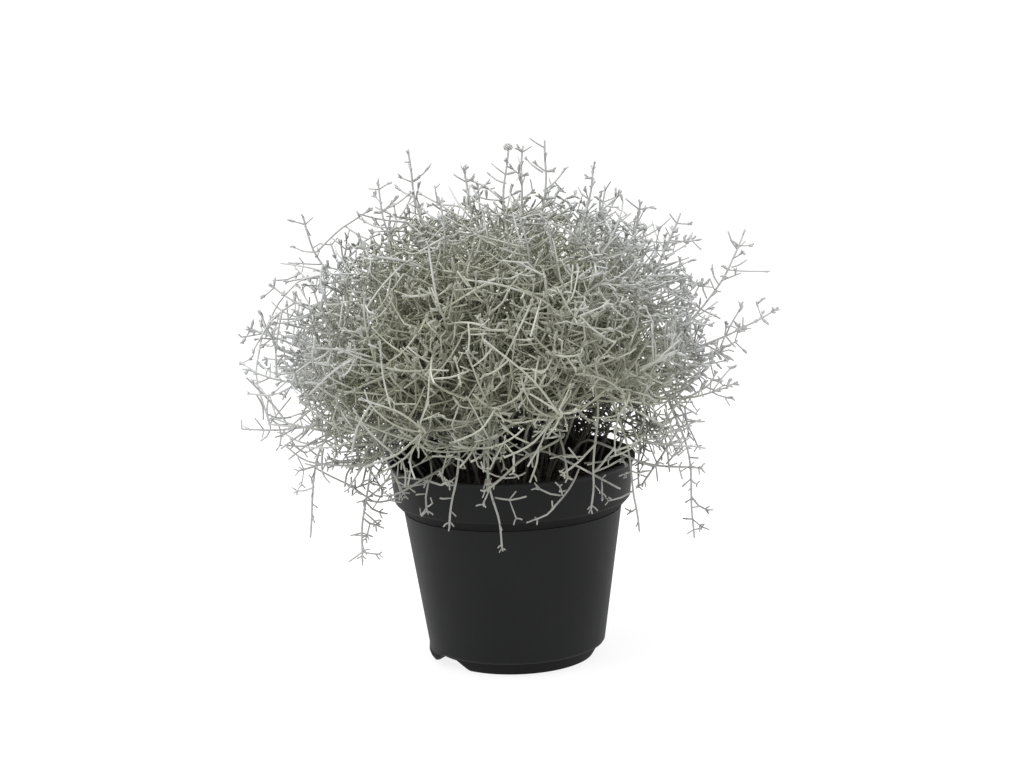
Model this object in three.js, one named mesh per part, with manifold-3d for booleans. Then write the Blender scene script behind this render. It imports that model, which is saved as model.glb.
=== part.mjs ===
// A potted cushion bush: a thin black nursery pot filled with soil, the wiry silver stems that stand in
// the soil and branch into a dome, and two small flower heads. Millimetres, +Z up. The pot's axis is Z,
// its foot stands on Z = 0, and the front of the bush looks along -Y.
import * as THREE from "three";
import { mergeVertices } from "three/addons/utils/BufferGeometryUtils.js";
import Module from "manifold-3d";

// Driving dimensions
const RIM_RADIUS = 65.6;
const POT_HEIGHT = 108;
const WALL = 1.2;
const BODY_TOP_RADIUS = 57.9; // under the collar
const BODY_FOOT_RADIUS = 47.1; // where the corner starts
const CORNER_HEIGHT = 10;
const COLLAR_BOTTOM_RADIUS = 62.6;
const COLLAR_BOTTOM = 87; // the chamfer runs from here down to CHAMFER_BOTTOM
const CHAMFER_BOTTOM = 82;
const FOOT_TOP_RADIUS = 43.6;
const FOOT_RADIUS = 40.4;
const FOOT_RIB = 4; // width of the ring that the pot stands on
const BASE_UNDERSIDE = 6.2;
const POT_SIDES = 40;

// The foot has notches that let water out, and in each the wall runs down lower as a small skirt.
const NOTCH_MIDDLES = [185, 65]; // degrees from +X: one on the left, one behind
const NOTCH_FLOOR_WIDTH = 58;
const NOTCH_TOP_WIDTH = 52;
const SKIRT_FLOOR_WIDTH = 22;
const SKIRT_TOP_WIDTH = 56;
const SKIRT_BOTTOM = 2.4;
const DRAIN_HOLES = 6;
const DRAIN_HOLE_RADIUS = 3.5;
const DRAIN_CIRCLE = 27;

const SOIL_TOP = 94;
const SOIL_GAP = 0.3; // between the soil and the pot, and around each stem
const SOIL_SIDES = 20;
const HOLE_SIDES = 4;
const SOIL_DOME = 3;
const STEM_FOOT = 83; // a stem stands straight from here, in the soil,
const STEM_COLLAR = 101; // to here, just above it

const STEM_RADIUS = 1.35; // at the soil
const STEM_TIP_RADIUS = 0.85;
const BRANCH_RADIUS = 0.95;
const BRANCH_TIP_RADIUS = 0.8;
const TWIG_RADIUS = 0.75;
const NECK_RADIUS = 0.4; // where a branch or twig starts, inside its stem
const SMOOTHING = 0.05; // how far joining may shift a face
const SIDES = 3; // of every stem and twig
const BUD_OFFSETS = [2.2, 12]; // from a bend of the stem to where twigs leave it
const BUD_DEPTH = 0.2; // from the middle of a stem to where a twig starts inside it
const STEM_STEP = 24;
const BRANCH_STEP = 18;
const TWIG_STEP = 16;
const BRANCHES = 262;
const BRANCH_REACH = [30, 90]; // how far off a branch's spot may be from its bud
const TWIGS = 396;
const TWIG_REACH = [10, 30];
const SPOTS_TRIED = 16;
const OVERSHOOT = 1.1; // how far a twig's end may stand out of the bush's even dome
const PULL = 0.6; // how strongly a twig turns to its spot at each step
const LIFT = 0.1; // how strongly a twig without one turns upwards

const CLEARANCE = 1.1; // kept between any two stems or twigs, on top of their radii
const BALL_SPACING = 2.5;
const CELL = 5;
const CROWD_CELL = 10;
const ROOT_FREE = 6; // a twig may be this close to its own stem where it leaves it
const ROOT_SPACING = 8;

const BUSH_CENTRE_X = -14; // the bush leans a little to the left
const BUSH_RADIUS_X = 122;
const BUSH_RADIUS_Y = 120;
const BUSH_WAIST = 150; // height of the widest part
const BUSH_UP = 102; // from the waist to the top of the dome
const BUSH_DOWN = 68; // from the waist to the underside
const REACH_X = 141;
const REACH_Y = 136;
const LOWEST = 58;

const UP = new THREE.Vector3(0, 0, 1);

// Where the leafy stems end: those that stand upright, those that spread and those that hang.
const UPRIGHT_TIPS = [
  [-48, 0, 272],
  [-63, -26, 259],
  [-32, -50, 254],
  [-19, 10, 258],
  [-13, 46, 248],
  [4, 0, 269],
  [12, 25, 270],
  [23, -10, 276],
  [47, -20, 261],
  [55, 32, 245],
  [72, 0, 241],
  [92, -10, 236],
  [91, 46, 217],
  [126, 0, 225],
  [-104, 0, 240],
  [-93, 42, 220],
  [-74, -32, 234],
  [-45, 62, 236],
  [22, 74, 232],
  [8, -62, 244],
];
const SPREADING_TIPS = [
  [141, -10, 184],
  [113, -34, 148],
  [124, 34, 160],
  [-120, -22, 207],
  [-136, 10, 180],
  [-133, -44, 168],
  [-141, -6, 129],
  [-84, -92, 186],
  [-44, -118, 148],
  [-34, -98, 208],
  [24, -136, 160],
  [38, -102, 206],
  [84, -88, 178],
  [92, -82, 128],
  [-96, 84, 178],
  [-52, 114, 150],
  [-8, 112, 198],
  [34, 136, 158],
  [62, 104, 190],
  [106, 78, 138],
  [-62, -84, 108],
  [-14, -102, 113],
  [54, -84, 108],
  [-110, -40, 113],
  [98, -44, 108],
];
const TRAILING_TIPS = [
  [-106, -30, 75],
  [-78, -54, 68],
  [-32, -86, 92],
  [-6, -84, 79],
  [39, -82, 97],
  [64, -62, 80],
  [95, -16, 64],
  [70, 62, 74],
  [2, 92, 70],
  [-66, 66, 78],
];
// For each kind of stem, how far up and out its curve's handle stands from its root, and how far up
// and out the other handle stands from its tip.
const STEM_SHAPES = {
  upright: (rise) => [0.42 * rise, 8, -0.42 * rise, -12],
  spreading: (rise) => [38 + 0.3 * rise, 16, -0.35 * rise, -48],
  trailing: () => [92, 26, 84, -2],
};
const STEM_SWING = 22; // how far a stem's curve may swing sideways
const STEM_TRIES = 200; // places tried for each bend of a stem
const TWIG_TRIES = 7;
const SEED = 1234;

const FLOWERING = [3, 5]; // the upright stems that carry a flower head
const HEAD_RADIUS = 2.7;
const HEAD_GAP = 0.3;

// Small tools

// A repeatable row of numbers between 0 and 1.
function draws(seed) {
  let state = seed;
  return () => {
    state = (state * 16807) % 2147483647;
    return state / 2147483647;
  };
}
const draw = draws(SEED);
const between = (low, high) => low + (high - low) * draw();

function randomVector(size) {
  const x = between(-size, size);
  const y = between(-size, size);
  const z = between(-size, size);
  return new THREE.Vector3(x, y, z);
}

const polar = (radius, angle, z) =>
  new THREE.Vector3(radius * Math.cos(angle), radius * Math.sin(angle), z);

// Any direction square to the one given.
function squareTo(direction) {
  const other = Math.abs(direction.z) < 0.9 ? UP : new THREE.Vector3(1, 0, 0);
  return direction.clone().cross(other).normalize();
}

// What the stems have to keep clear of

const outerRadiusAt = (z) =>
  z > CHAMFER_BOTTOM - 2
    ? RIM_RADIUS
    : BODY_FOOT_RADIUS + ((BODY_TOP_RADIUS - BODY_FOOT_RADIUS) * z) / CHAMFER_BOTTOM;

function clearOfPot(point, margin) {
  const radius = Math.hypot(point.x, point.y);
  if (point.z > POT_HEIGHT + margin) return true;
  if (radius > outerRadiusAt(point.z) + margin) return true;
  const inside = RIM_RADIUS - 2 * WALL - 3 - margin;
  return radius < inside && point.z > SOIL_TOP + SOIL_DOME + margin;
}

function insideBush(point, size = 1) {
  const across =
    ((point.x - BUSH_CENTRE_X) / BUSH_RADIUS_X) ** 2 + (point.y / BUSH_RADIUS_Y) ** 2;
  const tall = point.z > BUSH_WAIST ? BUSH_UP : BUSH_DOWN;
  return across + ((point.z - BUSH_WAIST) / tall) ** 2 < size ** 2;
}

const insideReach = (point) =>
  Math.abs(point.x) < REACH_X - 1 && Math.abs(point.y) < REACH_Y - 1 && point.z > LOWEST;

// The space that stems and twigs already fill, kept as balls in a grid of cells.
class Thicket {
  cells = new Map();
  crowds = new Map();

  keyOf(i, j, k) {
    return ((i + 500) * 1000 + (j + 500)) * 1000 + (k + 500);
  }

  add(points, radius, owner) {
    for (let n = 1; n < points.length; n++)
      for (const centre of ballsBetween(points[n - 1], points[n])) {
        const key = this.keyOf(
          Math.floor(centre.x / CELL),
          Math.floor(centre.y / CELL),
          Math.floor(centre.z / CELL),
        );
        if (!this.cells.has(key)) this.cells.set(key, []);
        this.cells.get(key).push({ centre, radius, owner });
        const crowd = this.crowdKey(centre, 0, 0, 0);
        this.crowds.set(crowd, (this.crowds.get(crowd) || 0) + 1);
      }
  }

  crowdKey(point, a, b, c) {
    return this.keyOf(
      Math.floor(point.x / CROWD_CELL) + a,
      Math.floor(point.y / CROWD_CELL) + b,
      Math.floor(point.z / CROWD_CELL) + c,
    );
  }

  // How much grows round a point.
  crowding(point) {
    let count = 0;
    for (let a = -1; a <= 1; a++)
      for (let b = -1; b <= 1; b++)
        for (let c = -1; c <= 1; c++) count += this.crowds.get(this.crowdKey(point, a, b, c)) || 0;
    return count;
  }

  isClear(from, to, radius, owner, root) {
    return ballsBetween(from, to).every((centre) => {
      const i = Math.floor(centre.x / CELL);
      const j = Math.floor(centre.y / CELL);
      const k = Math.floor(centre.z / CELL);
      const atRoot = centre.distanceTo(root) < ROOT_FREE;
      if (!atRoot && !clearOfPot(centre, radius + CLEARANCE)) return false;
      for (let a = i - 1; a <= i + 1; a++)
        for (let b = j - 1; b <= j + 1; b++)
          for (let c = k - 1; c <= k + 1; c++)
            for (const ball of this.cells.get(this.keyOf(a, b, c)) || []) {
              if (atRoot && ball.owner === owner) continue;
              if (ball.centre.distanceTo(centre) < ball.radius + radius + CLEARANCE) return false;
            }
      return true;
    });
  }
}
const thicket = new Thicket();

// Points a little apart along a straight stretch, its far end included.
function ballsBetween(from, to) {
  const count = Math.max(1, Math.ceil(from.distanceTo(to) / BALL_SPACING));
  return Array.from({ length: count }, (_, n) => from.clone().lerp(to, (n + 1) / count));
}

// Growing

// Roots stand round the middle of the pot, on the side of their tip, a little apart.
function rootFor(tip, roots) {
  const reach = Math.hypot(tip.x, tip.y);
  const angle = Math.atan2(tip.y, tip.x) + between(-0.9, 0.9);
  const wanted = polar(10 + 0.2 * reach, angle, STEM_COLLAR);
  for (let attempt = 0; ; attempt++) {
    const root = wanted.clone().add(randomVector(0.6 * attempt).setZ(0));
    if (roots.every((other) => other.distanceTo(root) > ROOT_SPACING)) return root;
  }
}

// The smooth line that a stem follows from its root to its tip.
function stemCurve(root, tip, kind) {
  const outward = new THREE.Vector3(tip.x, tip.y, 0).normalize();
  const sideways = outward.clone().cross(UP).multiplyScalar(between(-STEM_SWING, STEM_SWING));
  const [rootUp, rootOut, tipUp, tipOut] = STEM_SHAPES[kind](tip.z - root.z);
  const first = root.clone().addScaledVector(UP, rootUp).addScaledVector(outward, rootOut);
  const second = tip.clone().addScaledVector(UP, tipUp).addScaledVector(outward, tipOut);
  return new THREE.CubicBezierCurve3(root, first.add(sideways), second.sub(sideways), tip);
}

// A stem follows its curve and is bent clear of what already stands in its way.
function layStem(root, tip, kind, owner) {
  const curve = stemCurve(root, tip, kind);
  const steps = Math.round(curve.getLength() / STEM_STEP);
  const points = [root.clone().setZ(STEM_FOOT), root.clone()];
  for (let n = 1; n <= steps; n++) {
    const last = points[points.length - 1];
    for (let attempt = 0; ; attempt++) {
      const sway = n < steps ? 1.5 + 0.25 * attempt : 0.1 * attempt;
      const next = curve.getPoint(n / steps).add(randomVector(sway));
      if (thicket.isClear(last, next, STEM_RADIUS, owner, root) || attempt > STEM_TRIES) {
        points.push(next);
        break;
      }
    }
  }
  thicket.add(points, STEM_RADIUS, owner);
  return points;
}

// A twig grows step by step towards a spot, or upwards if it has none, curling evenly, and turns
// aside where something is in its way.
function growTwig({ from, heading, spot, steps, step, curl, radius, owner }) {
  const points = [from.clone()];
  let direction = heading;
  for (let n = 0; n < steps; n++) {
    const last = points[points.length - 1];
    const pull = spot ? spot.clone().sub(last).setLength(PULL) : UP.clone().multiplyScalar(LIFT);
    let next = null;
    for (let attempt = 0; attempt < TWIG_TRIES && !next; attempt++) {
      const turned = direction.clone().add(curl).add(pull);
      turned.add(randomVector(0.06 + 0.2 * attempt)).normalize();
      const place = last.clone().addScaledVector(turned, step);
      const allowed = insideReach(place) && (!spot || insideBush(place, OVERSHOOT));
      if (allowed && thicket.isClear(last, place, radius, owner, from)) {
        next = place;
        direction = turned;
      }
    }
    if (!next) break;
    points.push(next);
    if (spot && !insideBush(next)) break;
  }
  thicket.add(points, radius, owner);
  return points;
}

// The directions square to a rod that point at its first edge and a quarter turn on from it.
function edgesOf(points, along) {
  const reference = squareTo(points[points.length - 1].clone().sub(points[0]).normalize());
  const side = reference.addScaledVector(along, -reference.dot(along)).normalize();
  return [side, along.clone().cross(side)];
}

const alongOf = (points, stretch) => points[stretch + 1].clone().sub(points[stretch]).normalize();

// Where a twig leaves a rod: out through the flat face that looks most towards the wanted side.
function budOn(points, { stretch, offset }, wanted, angle) {
  const along = alongOf(points, stretch);
  const [side, other] = edgesOf(points, along);
  const faces = Array.from({ length: SIDES }, (_, n) => {
    const turn = ((1 + 2 * n) * Math.PI) / SIDES;
    return side.clone().multiplyScalar(Math.cos(turn)).addScaledVector(other, Math.sin(turn));
  });
  const outward = faces.reduce((best, face) => (face.dot(wanted) > best.dot(wanted) ? face : best));
  const middle = points[stretch].clone().addScaledVector(along, offset);
  return {
    from: middle.addScaledVector(outward, BUD_DEPTH),
    heading: along.multiplyScalar(Math.cos(angle)).addScaledVector(outward, Math.sin(angle)),
  };
}

// A stem or branch with the places on it where twigs can still leave it.
function withBuds(points, owner, firstStretch) {
  const buds = [];
  for (let stretch = firstStretch; stretch < points.length - 1; stretch++)
    for (const offset of BUD_OFFSETS)
      if (offset + 4 < points[stretch].distanceTo(points[stretch + 1]))
        buds.push({ stretch, offset });
  return { points, owner, buds };
}

// The bud that can best reach a spot, taken off its stem.
function takeBud(rods, spot, [near, far]) {
  let best = null;
  for (const rod of rods)
    for (const bud of rod.buds) {
      const reach = spot.clone().sub(rod.points[bud.stretch]);
      const distance = reach.length();
      const slant = reach.dot(alongOf(rod.points, bud.stretch)) / distance;
      if (distance < near || distance > far || slant < 0.1 || slant > 0.75) continue;
      if (!best || distance < best.distance) best = { rod, bud, reach, distance };
    }
  if (best) best.rod.buds.splice(best.rod.buds.indexOf(best.bud), 1);
  return best;
}

function spotInBush() {
  for (;;) {
    const x = BUSH_CENTRE_X + between(-BUSH_RADIUS_X, BUSH_RADIUS_X);
    const y = between(-BUSH_RADIUS_Y, BUSH_RADIUS_Y);
    const z = BUSH_WAIST + between(-BUSH_DOWN, BUSH_UP);
    const spot = new THREE.Vector3(x, y, z);
    if (insideBush(spot) && clearOfPot(spot, 6)) return spot;
  }
}

// The least crowded of a few spots in the bush.
function emptySpot() {
  let best = null;
  for (let n = 0; n < SPOTS_TRIED; n++) {
    const spot = spotInBush();
    const crowding = thicket.crowding(spot);
    if (!best || crowding < best.crowding) best = { spot, crowding };
  }
  return best.spot;
}

// Grows a number of twigs into empty spots from the buds of the rods given.
function fillBush(rods, count, reach, step, radius) {
  const grown = [];
  for (let n = 0; n < count; n++) {
    const spot = emptySpot();
    const start = takeBud(rods, spot, reach);
    if (!start) continue;
    const points = growTwig({
      ...budOn(start.rod.points, start.bud, start.reach, between(0.9, 1.3)),
      spot,
      steps: Math.max(1, Math.round(start.distance / step)),
      step,
      curl: randomVector(0.15),
      radius,
      owner: start.rod.owner,
    });
    if (points.length > 1) grown.push(withBuds(points, start.rod.owner, 0));
  }
  return grown;
}

// Short side twigs on the ends of stems that stand out of the bush or hang below it.
function sprigsOf(stem) {
  const sprigs = [];
  for (const bud of [...stem.buds]) {
    const along = alongOf(stem.points, bud.stretch);
    const place = stem.points[bud.stretch].clone().addScaledVector(along, bud.offset);
    if (insideBush(place, 0.96)) continue;
    const points = growTwig({
      ...budOn(stem.points, bud, randomVector(1), between(0.9, 1.3)),
      steps: 1,
      step: between(8, 17),
      curl: randomVector(0.1),
      radius: TWIG_RADIUS,
      owner: stem.owner,
    });
    if (points.length > 1) sprigs.push(withBuds(points, stem.owner, 0));
  }
  return sprigs;
}

function growBush() {
  const wanted = [
    ...UPRIGHT_TIPS.map((tip) => ({ tip, kind: "upright" })),
    ...SPREADING_TIPS.map((tip) => ({ tip, kind: "spreading" })),
    ...TRAILING_TIPS.map((tip) => ({ tip, kind: "trailing" })),
  ];
  const roots = [];
  const stems = wanted.map(({ tip, kind }, n) => {
    const name = `stem_${String(n + 1).padStart(2, "0")}`;
    const end = new THREE.Vector3(...tip);
    const root = rootFor(end, roots);
    roots.push(root);
    return { ...withBuds(layStem(root, end, kind, name), name, 2), root };
  });
  const sprigs = stems.flatMap(sprigsOf);
  const branches = fillBush(stems, BRANCHES, BRANCH_REACH, BRANCH_STEP, BRANCH_RADIUS);
  const twigs = fillBush([...stems, ...branches], TWIGS, TWIG_REACH, TWIG_STEP, TWIG_RADIUS);
  return { stems, branches, twigs: [...sprigs, ...twigs] };
}

// Solids

const wasm = await Module();
wasm.setup();

function solidOf(geometry) {
  geometry.deleteAttribute("normal");
  geometry.deleteAttribute("uv");
  const merged = mergeVertices(geometry, 1e-4);
  return new wasm.Manifold(
    new wasm.Mesh({
      numProp: 3,
      vertProperties: merged.attributes.position.array,
      triVerts: new Uint32Array(merged.index.array),
    }),
  );
}

function meshOf(solid, name, material) {
  const { vertProperties, triVerts } = solid.getMesh();
  const geometry = new THREE.BufferGeometry();
  geometry.setAttribute("position", new THREE.BufferAttribute(vertProperties, 3));
  geometry.setIndex(new THREE.BufferAttribute(triVerts, 1));
  const mesh = new THREE.Mesh(geometry, material);
  mesh.name = name;
  return mesh;
}

// A cylinder bent along a row of points, with its own radius at each of them.
function rod(points, radii) {
  const segments = points.length - 1;
  const geometry = new THREE.CylinderGeometry(1, 1, 1, SIDES, segments);
  const position = geometry.attributes.position;
  for (let v = 0; v < position.count; v++) {
    const n = Math.round((position.getY(v) + 0.5) * segments);
    const before = points[Math.max(n - 1, 0)];
    const after = points[Math.min(n + 1, segments)];
    const [side, other] = edgesOf(points, after.clone().sub(before).normalize());
    const place = points[n]
      .clone()
      .addScaledVector(other, radii[n] * position.getX(v))
      .addScaledVector(side, radii[n] * position.getZ(v));
    position.setXYZ(v, place.x, place.y, place.z);
  }
  return solidOf(geometry);
}

// Radii that change evenly along a rod, after a neck where it has one.
function radiiFor(points, first, last, neck = first) {
  const segments = points.length - 1;
  const radii = points.map((_, n) => first + ((last - first) * n) / segments);
  radii[0] = neck;
  return radii;
}

// A stem with its branches and twigs joined on, less the needless small edges that joining leaves.
function stemSolid(stem, bush) {
  const own = ({ owner }) => owner === stem.owner;
  const rods = [rod(stem.points, radiiFor(stem.points, STEM_RADIUS, STEM_TIP_RADIUS))];
  for (const { points } of bush.branches.filter(own))
    rods.push(rod(points, radiiFor(points, BRANCH_RADIUS, BRANCH_TIP_RADIUS, NECK_RADIUS)));
  for (const { points } of bush.twigs.filter(own))
    rods.push(rod(points, radiiFor(points, TWIG_RADIUS, TWIG_RADIUS, NECK_RADIUS)));
  return wasm.Manifold.union(rods).asOriginal().simplify(SMOOTHING);
}

const lathed = (profile, sides) =>
  new THREE.LatheGeometry(
    profile.map(([radius, z]) => new THREE.Vector2(radius, z)),
    sides,
  ).rotateX(Math.PI / 2);

function potSolid() {
  const shell = lathed(
    [
      [0, BASE_UNDERSIDE],
      [FOOT_RADIUS - FOOT_RIB - 0.6, BASE_UNDERSIDE],
      [FOOT_RADIUS - FOOT_RIB, 0],
      [FOOT_RADIUS - 0.8, 0],
      [FOOT_RADIUS + 0.2, 1],
      [FOOT_TOP_RADIUS, BASE_UNDERSIDE],
      [BODY_FOOT_RADIUS - 1.4, BASE_UNDERSIDE + 0.9],
      [BODY_FOOT_RADIUS, CORNER_HEIGHT],
      [BODY_TOP_RADIUS, CHAMFER_BOTTOM],
      [COLLAR_BOTTOM_RADIUS, COLLAR_BOTTOM],
      [RIM_RADIUS - 1.2, POT_HEIGHT - 2.4],
      [RIM_RADIUS, POT_HEIGHT - 1.6],
      [RIM_RADIUS, POT_HEIGHT],
      [RIM_RADIUS - 1.2 - WALL, POT_HEIGHT],
      [COLLAR_BOTTOM_RADIUS - WALL, COLLAR_BOTTOM + 0.5],
      [BODY_TOP_RADIUS - WALL, CHAMFER_BOTTOM + 0.5],
      [BODY_FOOT_RADIUS - WALL, CORNER_HEIGHT + 0.4],
      [BODY_FOOT_RADIUS - 3.2, BASE_UNDERSIDE + WALL],
      [0, BASE_UNDERSIDE + WALL],
    ],
    POT_SIDES,
  );
  const skirtRing = lathed(
    [
      [BODY_FOOT_RADIUS - 1.7, SKIRT_BOTTOM],
      [BODY_FOOT_RADIUS - 0.4, SKIRT_BOTTOM + 0.8],
      [BODY_FOOT_RADIUS + 0.2, SKIRT_BOTTOM + 2.6],
      [BODY_FOOT_RADIUS - 0.1, CORNER_HEIGHT + 0.2],
      [BODY_FOOT_RADIUS - 1.1, CORNER_HEIGHT - 0.1],
      [BODY_FOOT_RADIUS - 2.8, BASE_UNDERSIDE + 1.6],
      [BODY_FOOT_RADIUS - 2.7, SKIRT_BOTTOM + 0.6],
      [BODY_FOOT_RADIUS - 1.7, SKIRT_BOTTOM],
    ],
    POT_SIDES,
  );
  const notches = NOTCH_MIDDLES.map(THREE.MathUtils.degToRad);
  const cuts = notches.map((angle) =>
    wedge(angle, NOTCH_FLOOR_WIDTH, NOTCH_TOP_WIDTH, -0.5, BASE_UNDERSIDE - 0.6),
  );
  const skirts = notches.map((angle) =>
    solidOf(skirtRing).intersect(
      wedge(angle, SKIRT_FLOOR_WIDTH, SKIRT_TOP_WIDTH, SKIRT_BOTTOM - 0.5, CORNER_HEIGHT + 1),
    ),
  );
  for (let n = 0; n < DRAIN_HOLES; n++) cuts.push(drainHole((n / DRAIN_HOLES) * 2 * Math.PI));
  return solidOf(shell)
    .subtract(wasm.Manifold.union(cuts))
    .add(wasm.Manifold.union(skirts));
}

// A block that reaches out across the foot, as wide at its floor and its top as the widths say.
function wedge(angle, floorWidth, topWidth, floor, top) {
  const outline = new THREE.Shape([
    new THREE.Vector2(-floorWidth / 2, floor),
    new THREE.Vector2(floorWidth / 2, floor),
    new THREE.Vector2(topWidth / 2, top),
    new THREE.Vector2(-topWidth / 2, top),
  ]);
  const block = new THREE.ExtrudeGeometry(outline, { depth: FOOT_RADIUS, bevelEnabled: false });
  block.rotateX(Math.PI / 2).rotateZ(Math.PI / 2);
  return solidOf(block.translate(FOOT_RADIUS / 2, 0, 0).rotateZ(angle));
}

function drainHole(angle) {
  const hole = new THREE.CylinderGeometry(DRAIN_HOLE_RADIUS, DRAIN_HOLE_RADIUS, 6, 10);
  const place = polar(DRAIN_CIRCLE, angle, BASE_UNDERSIDE);
  return solidOf(hole.rotateX(Math.PI / 2).translate(place.x, place.y, place.z));
}

// The soil's top is domed and lumpy, and it has a plain hole for each stem.
const lumpsAt = (x, y) =>
  0.9 * Math.sin(0.31 * x + 1.3) * Math.cos(0.27 * y) + 0.7 * Math.sin(0.17 * x - 0.41 * y);

function soilSolid(stems) {
  const inner = (radius) => radius - WALL - SOIL_GAP;
  const floor = BASE_UNDERSIDE + WALL + SOIL_GAP;
  const wallTop = inner(COLLAR_BOTTOM_RADIUS) + 0.4;
  const profile = [
    [0, floor],
    [BODY_FOOT_RADIUS - 4.2, floor],
    [inner(BODY_FOOT_RADIUS) - 0.3, CORNER_HEIGHT + 0.8],
    [inner(BODY_TOP_RADIUS) - 0.3, CHAMFER_BOTTOM + 0.5],
    [inner(COLLAR_BOTTOM_RADIUS) - 0.3, COLLAR_BOTTOM + 0.5],
    [wallTop, SOIL_TOP - 2.5],
  ];
  for (const share of [0.8, 0.58, 0.36, 0.16])
    profile.push([wallTop * share, SOIL_TOP + SOIL_DOME * (1 - share * share) - 0.6]);
  profile.push([0, SOIL_TOP + SOIL_DOME - 0.6]);
  const turned = lathed(profile, SOIL_SIDES);
  const position = turned.attributes.position;
  for (let v = 0; v < position.count; v++)
    if (position.getZ(v) > SOIL_TOP - 3)
      position.setZ(v, position.getZ(v) + lumpsAt(position.getX(v), position.getY(v)));
  const holes = stems.map(({ root }) => {
    const radius = (STEM_RADIUS + SOIL_GAP) / Math.cos(Math.PI / HOLE_SIDES);
    const bottom = STEM_FOOT - SOIL_GAP;
    const hole = new THREE.CylinderGeometry(radius, radius, STEM_COLLAR - bottom, HOLE_SIDES);
    const middle = (STEM_COLLAR + bottom) / 2;
    return solidOf(hole.rotateX(Math.PI / 2).translate(root.x, root.y, middle));
  });
  return solidOf(turned).subtract(wasm.Manifold.union(holes));
}

// A ball of small florets on the tip of a stem.
function flowerHead(stem) {
  const tip = stem.points[stem.points.length - 1];
  const ball = new THREE.SphereGeometry(HEAD_RADIUS, 12, 7).rotateX(Math.PI / 2);
  const position = ball.attributes.position;
  for (let v = 0; v < position.count; v++) {
    const place = new THREE.Vector3().fromBufferAttribute(position, v);
    const angle = Math.atan2(place.y, place.x);
    const florets = 1 + 0.12 * Math.sin(7 * angle) * Math.sin((4 * place.z) / HEAD_RADIUS);
    position.setXYZ(v, place.x * florets, place.y * florets, place.z * 0.92);
  }
  return solidOf(ball.translate(tip.x, tip.y, tip.z + HEAD_RADIUS + HEAD_GAP));
}

// Materials

const finish = (color, roughness) =>
  new THREE.MeshStandardMaterial({ color, roughness, metalness: 0 });
const blackPlastic = finish(0x2b2b2d, 0.5);
const darkSoil = finish(0x1d1713, 0.95);
const silverStem = finish(0xa3a698, 0.85);
const paleFloret = finish(0xc9c4b4, 0.9);

// The potted bush

const bush = growBush();
const plant = new THREE.Group();
plant.add(meshOf(potSolid(), "pot", blackPlastic));
plant.add(meshOf(soilSolid(bush.stems), "soil", darkSoil));
for (const stem of bush.stems)
  plant.add(meshOf(stemSolid(stem, bush), stem.owner, silverStem));
FLOWERING.forEach((n, k) =>
  plant.add(meshOf(flowerHead(bush.stems[n]), `flower_head_${k + 1}`, paleFloret)),
);

export default plant;
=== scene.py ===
"""A potted cushion bush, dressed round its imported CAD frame: the wiry silver stems with their fine
opposite twigs and bud scales, two small flower heads, the soil and the thin black nursery pot.
Lengths are in millimetres, and in metres where the finishes and the studio use them."""

import math

import bpy
from mathutils import Matrix, Vector, noise


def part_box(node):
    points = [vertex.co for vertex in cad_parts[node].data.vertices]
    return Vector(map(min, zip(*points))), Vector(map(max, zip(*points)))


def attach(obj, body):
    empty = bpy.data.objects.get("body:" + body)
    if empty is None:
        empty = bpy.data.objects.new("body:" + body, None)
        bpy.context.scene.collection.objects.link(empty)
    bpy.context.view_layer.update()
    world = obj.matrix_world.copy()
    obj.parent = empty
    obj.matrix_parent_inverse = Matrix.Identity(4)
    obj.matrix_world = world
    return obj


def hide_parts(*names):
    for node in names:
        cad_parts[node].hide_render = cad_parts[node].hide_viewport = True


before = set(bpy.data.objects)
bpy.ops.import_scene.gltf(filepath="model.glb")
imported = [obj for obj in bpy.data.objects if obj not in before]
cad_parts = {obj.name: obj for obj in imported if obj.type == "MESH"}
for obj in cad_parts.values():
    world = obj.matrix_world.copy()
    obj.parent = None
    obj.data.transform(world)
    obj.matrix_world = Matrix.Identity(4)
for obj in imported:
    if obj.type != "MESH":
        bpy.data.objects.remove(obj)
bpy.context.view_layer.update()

# The bush's own measures, in millimetres
RIM_RADIUS = 65.6
POT_HEIGHT = 108
WALL = 1.2
BODY_TOP_RADIUS = 57.9
BODY_FOOT_RADIUS = 47.1
CHAMFER_BOTTOM = 82
SOIL_TOP = 94
SOIL_DOME = 3
STEM_FOOT = 83
STEM_COLLAR = 101

STEM_RADIUS = 1.35
BRANCH_RADIUS = 0.95
TWIG_RADIUS = 0.75
SIDES = 3
BUD_OFFSETS = (2.2, 12)
BUD_DEPTH = 0.2
BUD_ROOM = 4
STEM_STEP = 24
BRANCH_STEP = 18
TWIG_STEP = 16
BRANCHES = 262
BRANCH_REACH = (30, 90)
TWIGS = 396
TWIG_REACH = (10, 30)
SPOTS_TRIED = 16
OVERSHOOT = 1.1
PULL = 0.6
LIFT = 0.1
BUD_ANGLES = (0.9, 1.3)
BUD_SLANTS = (0.1, 0.75)
SPRIG_START = 0.96
SPRIG_STEPS = (8, 17)

CLEARANCE = 1.1
BALL_SPACING = 2.5
CELL = 5
CROWD_CELL = 10
ROOT_FREE = 6
ROOT_SPACING = 8
ROOT_SWING = 0.9
ROOT_REACH = 10
ROOT_SHARE = 0.2
ROOT_SHIFT = 0.6

BUSH_CENTRE_X = -14
BUSH_RADIUS_X = 122
BUSH_RADIUS_Y = 120
BUSH_WAIST = 150
BUSH_UP = 102
BUSH_DOWN = 68
REACH_X = 141
REACH_Y = 136
LOWEST = 58

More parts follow.
